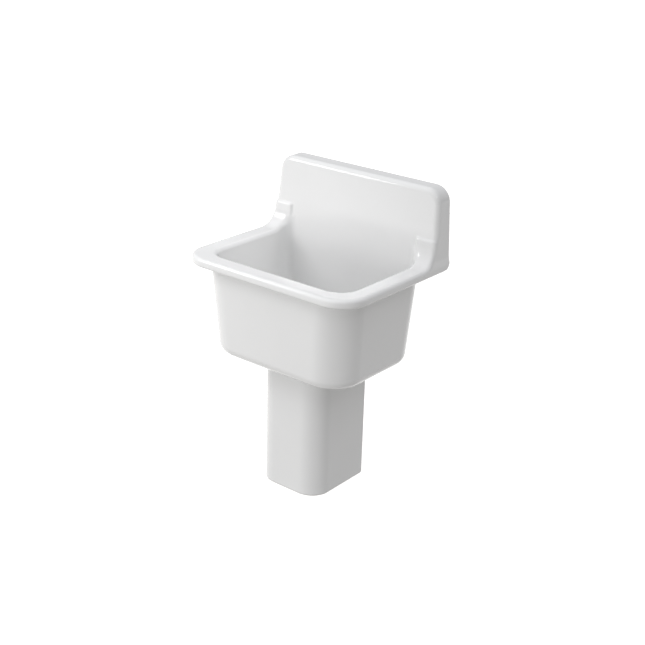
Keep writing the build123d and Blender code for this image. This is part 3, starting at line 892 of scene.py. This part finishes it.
def pipe_piece(name, outer, inner):
    """A pipe with a wall, along the route."""
    route = pipe_route()
    loops = [(row, outer, 1) for row in route] + [(row, inner, -1) for row in route[::-1]]
    points, normals = [], []
    for (y, z, forward_y, forward_z), radius, way in loops:
        for s in range(PIPE_SEGMENTS):
            angle = 2 * math.pi * s / PIPE_SEGMENTS
            across, up = math.cos(angle), math.sin(angle)
            normal = np.array((across, -forward_z * up, forward_y * up))
            points.append(np.array((0, y, z)) + radius * normal)
            normals.append(way * normal)
    faces = []
    count = len(loops)
    for k in range(count):
        here, ahead = k * PIPE_SEGMENTS, (k + 1) % count * PIPE_SEGMENTS
        for s in range(PIPE_SEGMENTS):
            t = (s + 1) % PIPE_SEGMENTS
            faces.append((here + s, ahead + s, ahead + t, here + t))
    return mesh_piece(name, np.array(points), faces, np.array(normals))


dressed(pipe_piece("outlet_pipe", PIPE_RADIUS, PIPE_BORE), "outlet_bend", "fixed", "grey_pvc")

PLATE_TOP = box_mm("floor_plate")[1][2]
PLATE_FOOT = 0.2
PLATE_BORE = 20.3
dressed(
    turned(
        "floor_cover_plate",
        [
            (PLATE_BORE, PLATE_FOOT, 0.3),
            (35.8, PLATE_FOOT, 0.3),
            (36, 2.4, 0.8),
            (33, 4.4, 3),
            (25, PLATE_TOP - 0.6, 3),
            (23, PLATE_TOP, 0.8),
            (PLATE_BORE, PLATE_TOP, 0.8),
        ],
        (0, PIPE_Y, 0),
    ),
    "floor_plate",
    "floor_plate",
    "white_plastic",
)

# ---------------------------------------------------------------- materials
NOISE_LOW, NOISE_HIGH = 0.3, 0.7  # nearly all of a noise's values lie between these


def shader(name, colour, roughness, metallic=0.0):
    """A material with its Principled node ready."""
    material = bpy.data.materials.new(name)
    material.use_nodes = True
    nodes = material.node_tree.nodes
    principled = nodes["Principled BSDF"]
    principled.inputs["Base Color"].default_value = (*colour, 1)
    principled.inputs["Roughness"].default_value = roughness
    principled.inputs["Metallic"].default_value = metallic
    return material, nodes, material.node_tree.links, principled


def object_noise(nodes, links, scale, stretch=(1, 1, 1), detail=3.0):
    """A noise over the object's own coordinates, stretched along its axes."""
    where = nodes.new("ShaderNodeTexCoord")
    mapping = nodes.new("ShaderNodeMapping")
    mapping.inputs["Scale"].default_value = stretch
    links.new(where.outputs["Object"], mapping.inputs["Vector"])
    noise = nodes.new("ShaderNodeTexNoise")
    noise.inputs["Scale"].default_value = scale
    noise.inputs["Detail"].default_value = detail
    links.new(mapping.outputs["Vector"], noise.inputs["Vector"])
    return noise


def blend_colours(nodes, links, factor, low, high):
    """A ramp from one colour to another over a noise."""
    ramp = nodes.new("ShaderNodeValToRGB")
    ramp.color_ramp.elements[0].position = NOISE_LOW
    ramp.color_ramp.elements[0].color = (*low, 1)
    ramp.color_ramp.elements[1].position = NOISE_HIGH
    ramp.color_ramp.elements[1].color = (*high, 1)
    links.new(factor, ramp.inputs["Fac"])
    return ramp.outputs["Color"]


def spread(nodes, links, factor, low, high):
    """Maps a noise onto a range of values."""
    node = nodes.new("ShaderNodeMapRange")
    node.inputs["From Min"].default_value = NOISE_LOW
    node.inputs["From Max"].default_value = NOISE_HIGH
    node.inputs["To Min"].default_value = low
    node.inputs["To Max"].default_value = high
    links.new(factor, node.inputs["Value"])
    return node.outputs["Result"]


def bump(nodes, links, principled, height, distance, strength=1.0):
    """Relief that follows a height, up to a distance in metres."""
    node = nodes.new("ShaderNodeBump")
    node.inputs["Strength"].default_value = strength
    node.inputs["Distance"].default_value = distance
    links.new(height, node.inputs["Height"])
    links.new(node.outputs["Normal"], principled.inputs["Normal"])


def china_material():
    """White glaze over vitreous china, left bare where it was set down in the kiln."""
    material, nodes, links, principled = shader("vitreous_china", CHINA_TINT, 0.1)
    cloud = object_noise(nodes, links, scale=5.5, detail=4)
    glaze = blend_colours(
        nodes,
        links,
        cloud.outputs["Fac"],
        low=tuple(0.985 * channel for channel in CHINA_TINT),
        high=tuple(1.012 * channel for channel in CHINA_TINT),
    )
    specks = object_noise(nodes, links, scale=240, detail=1)
    bisque = blend_colours(
        nodes, links, specks.outputs["Fac"], low=(0.62, 0.60, 0.56), high=(0.74, 0.72, 0.69)
    )
    # Bare china: the foot's underside, and the face against the wall.
    place = nodes.new("ShaderNodeTexCoord")
    place_parts = nodes.new("ShaderNodeSeparateXYZ")
    links.new(place.outputs["Object"], place_parts.inputs["Vector"])

    def between(value, start, end):
        """0 at start and 1 at end."""
        node = nodes.new("ShaderNodeMapRange")
        node.inputs["From Min"].default_value = start
        node.inputs["From Max"].default_value = end
        links.new(value, node.inputs["Value"])
        return node.outputs["Result"]

    foot = between(place_parts.outputs["Z"], start=2.5 * MM, end=1.2 * MM)
    wall = between(place_parts.outputs["Y"], start=(WALL_Y - 2) * MM, end=(WALL_Y - 0.8) * MM)
    bare = nodes.new("ShaderNodeMath")
    bare.operation = "MAXIMUM"
    links.new(foot, bare.inputs[0])
    links.new(wall, bare.inputs[1])
    mix = nodes.new("ShaderNodeMix")
    mix.data_type = "RGBA"
    links.new(bare.outputs[0], mix.inputs["Factor"])
    links.new(glaze, mix.inputs["A"])
    links.new(bisque, mix.inputs["B"])
    links.new(mix.outputs["Result"], principled.inputs["Base Color"])
    shine = spread(nodes, links, cloud.outputs["Fac"], low=0.085, high=0.14)
    rough = nodes.new("ShaderNodeMix")
    links.new(bare.outputs[0], rough.inputs["Factor"])
    links.new(shine, rough.inputs["A"])
    rough.inputs["B"].default_value = 0.85
    links.new(rough.outputs["Result"], principled.inputs["Roughness"])
    principled.inputs["Coat Weight"].default_value = 0.35
    principled.inputs["Coat Roughness"].default_value = 0.05
    peel = object_noise(nodes, links, scale=60, detail=2)
    bump(nodes, links, principled, peel.outputs["Fac"], distance=0.12 * MM, strength=0.5)
    return material


def grained(
    name,
    dark,
    light,
    rough,
    scale,
    depth,
    stretch=(1, 1, 1),
    detail=3.0,
    metallic=0.0,
    anisotropy=0.0,
):
    """A material whose colour, gloss and relief all follow a noise.

    dark and light are colours, rough is a range of roughness, scale is the noise's
    scale per metre, and depth is the relief's in millimetres.
    """
    material, nodes, links, principled = shader(name, light, rough[0], metallic)
    noise = object_noise(nodes, links, scale, stretch, detail)
    broad = object_noise(nodes, links, scale / 9, stretch, detail=2)
    colour = blend_colours(nodes, links, noise.outputs["Fac"], dark, light)
    links.new(colour, principled.inputs["Base Color"])
    shine = spread(nodes, links, broad.outputs["Fac"], *rough)
    links.new(shine, principled.inputs["Roughness"])
    principled.inputs["Anisotropic"].default_value = anisotropy
    bump(nodes, links, principled, noise.outputs["Fac"], depth * MM)
    return material


CHINA_TINT = (0.78, 0.78, 0.776)
LOOKS = {
    "black_rubber": dict(
        dark=(0.012, 0.012, 0.013),
        light=(0.03, 0.03, 0.031),
        rough=(0.5, 0.72),
        scale=900,
        depth=0.05,
    ),
    "zinc_steel": dict(
        dark=(0.42, 0.43, 0.44),
        light=(0.66, 0.67, 0.68),
        rough=(0.28, 0.48),
        scale=160,
        depth=0.02,
        detail=5,
        metallic=1,
    ),
    "stainless_steel": dict(
        dark=(0.5, 0.5, 0.5),
        light=(0.68, 0.675, 0.665),
        rough=(0.2, 0.32),
        scale=90,
        depth=0.01,
        stretch=(1, 1, 24),
        detail=4,
        metallic=1,
        anisotropy=0.4,
    ),
    "fibre": dict(
        dark=(0.20, 0.055, 0.03),
        light=(0.36, 0.12, 0.07),
        rough=(0.75, 0.9),
        scale=700,
        depth=0.06,
    ),
    "brass": dict(
        dark=(0.42, 0.29, 0.11),
        light=(0.62, 0.45, 0.19),
        rough=(0.3, 0.5),
        scale=420,
        depth=0.08,
        detail=4,
        metallic=1,
    ),
    "white_nylon": dict(
        dark=(0.66, 0.64, 0.58),
        light=(0.74, 0.72, 0.66),
        rough=(0.4, 0.55),
        scale=500,
        depth=0.02,
    ),
    "chrome": dict(
        dark=(0.66, 0.67, 0.69),
        light=(0.76, 0.77, 0.785),
        rough=(0.05, 0.11),
        scale=60,
        depth=0.004,
        metallic=1,
    ),
    "white_plastic": dict(
        dark=(0.68, 0.68, 0.67),
        light=(0.73, 0.73, 0.722),
        rough=(0.26, 0.4),
        scale=650,
        depth=0.02,
    ),
    "grey_pvc": dict(
        dark=(0.19, 0.20, 0.21),
        light=(0.235, 0.245, 0.255),
        rough=(0.3, 0.45),
        scale=300,
        depth=0.04,
        stretch=(1, 1, 0.06),
    ),
}
MATERIALS = {"vitreous_china": china_material()}
for look_name, look in LOOKS.items():
    MATERIALS[look_name] = grained(look_name, **look)
for slot_name, pieces in SLOT_PIECES.items():
    for piece in pieces:
        piece.data.materials.append(MATERIALS[slot_name])
# The pieces that keep their CAD mesh get a material of their own.
for row in frame["record"]["subparts"]:
    if row["node"] not in REPLACED_NODES:
        mesh = frame["nodes"][row["node"]].data
        mesh.materials.clear()
        mesh.materials.append(MATERIALS[row["material_slot"]])

# ---------------------------------------------------------------- floor, light, camera
bpy.ops.mesh.primitive_plane_add(size=80, location=(0, 0, 0))
floor = bpy.context.object
floor.name = "floor"
floor_material, _, _, floor_shader = shader("studio_floor", (0.3, 0.3, 0.3), roughness=0.9)
floor_shader.inputs["Specular IOR Level"].default_value = 0
floor_shader.inputs["Emission Color"].default_value = (1.0, 0.99, 0.975, 1)
floor_shader.inputs["Emission Strength"].default_value = 1.0
floor.data.materials.append(floor_material)
# The floor shows as a lit white sweep. The dome's lower half stands in for its bounce.
floor_material.cycles.emission_sampling = "NONE"
floor.visible_diffuse = False
floor.visible_shadow = False

scene = bpy.context.scene
scene.view_settings.view_transform = "Standard"
world = bpy.data.worlds.new("studio")
world.use_nodes = True
dome_nodes, dome_links = world.node_tree.nodes, world.node_tree.links
background = dome_nodes["Background"]
direction = dome_nodes.new("ShaderNodeTexCoord")
parts = dome_nodes.new("ShaderNodeSeparateXYZ")
dome_links.new(direction.outputs["Generated"], parts.inputs["Vector"])


def dome_ramp(axis, stops):
    """Colours at stops along one axis of the dome, where 0.5 is the middle."""
    along = dome_nodes.new("ShaderNodeMapRange")
    along.inputs["From Min"].default_value = -1
    dome_links.new(parts.outputs[axis], along.inputs["Value"])
    ramp = dome_nodes.new("ShaderNodeValToRGB")
    elements = ramp.color_ramp.elements
    for element, (position, colour) in zip(elements, stops):
        element.position = position
        element.color = (*colour, 1)
    for position, colour in stops[2:]:
        elements.new(position).color = (*colour, 1)
    dome_links.new(along.outputs["Result"], ramp.inputs["Fac"])
    return ramp.outputs["Color"]


dome_height = dome_ramp(
    "Z",
    (
        (0.49, (0.29, 0.286, 0.28)),
        (0.5, (0.6, 0.6, 0.6)),
        (0.78, (0.6, 0.6, 0.61)),
        (0.9, (1.08, 1.09, 1.12)),
    ),
)
dome_across = dome_ramp("X", ((0.5, (1, 1, 1)), (1.0, (0.84, 0.84, 0.84))))
dome_mix = dome_nodes.new("ShaderNodeMix")
dome_mix.data_type = "RGBA"
dome_mix.blend_type = "MULTIPLY"
dome_mix.inputs["Factor"].default_value = 1
dome_links.new(dome_height, dome_mix.inputs["A"])
dome_links.new(dome_across, dome_mix.inputs["B"])
dome_links.new(dome_mix.outputs["Result"], background.inputs["Color"])
scene.world = world


def placed(name, lamp, position, target):
    """A lamp at a position, facing a target, both in metres."""
    item = bpy.data.objects.new(name, lamp)
    item.location = position
    away = Vector(position) - Vector(target)
    item.rotation_euler = away.to_track_quat("Z", "Y").to_euler()
    bpy.context.collection.objects.link(item)
    return item


def softbox(name, position, target, size, power):
    """A square area lamp, its size in metres and its power in watts."""
    lamp = bpy.data.lights.new(name, "AREA")
    lamp.size = size
    lamp.energy = power
    return placed(name, lamp, position, target)


def sun(name, direction, strength, width):
    """A far lamp in a direction, as wide as so many degrees of the sky."""
    lamp = bpy.data.lights.new(name, "SUN")
    lamp.energy = strength
    lamp.angle = math.radians(width)
    placed(name, lamp, direction, (0, 0, 0))


softbox("key_softbox", position=(-0.85, -0.7, 1.2), target=(0, 0.1, 0.6), size=0.5, power=4.6)
front = softbox(
    "front_softbox", position=(-0.3, -2.6, 0.5), target=(0, 0, 0.4), size=1.0, power=20
)
# It fills the shade without a reflection of its own in the glaze.
front.visible_glossy = False
# A narrow beam over the right rim lights the bowl's left wall.
bowl_beam = softbox(
    "bowl_beam", position=(0.6, -0.2, 1.1), target=(-0.2, -0.01, 0.48), size=0.2, power=0.07
)
bowl_beam.data.spread = math.radians(26)
bowl_beam.visible_glossy = False
sun("sparkle_light", direction=(0.6, -0.46, 0.66), strength=0.05, width=4)

# The camera stands to the front right of the sink, a little above it.
AZIMUTH = math.radians(38.57)
ELEVATION = math.radians(22.37)
ROLL = math.radians(1.66)
DISTANCE = 2.818
TARGET = Vector((0.0733, WALL_Y * MM - 0.25, 0.4499))
FOCAL_LENGTH = 68.19
SENSOR_WIDTH = 36
away = Vector(
    (
        math.sin(AZIMUTH) * math.cos(ELEVATION),
        -math.cos(AZIMUTH) * math.cos(ELEVATION),
        math.sin(ELEVATION),
    )
)
right = Vector((math.cos(AZIMUTH), math.sin(AZIMUTH), 0))
above = away.cross(right)
turned_right = right * math.cos(ROLL) + above * math.sin(ROLL)
turned_above = away.cross(turned_right)
lens = bpy.data.cameras.new("camera")
lens.lens = FOCAL_LENGTH
lens.sensor_width = SENSOR_WIDTH
camera = bpy.data.objects.new("camera", lens)
pose = Matrix((turned_right, turned_above, away)).transposed().to_4x4()
pose.translation = TARGET + away * DISTANCE
camera.matrix_world = pose
bpy.context.collection.objects.link(camera)
scene.camera = camera
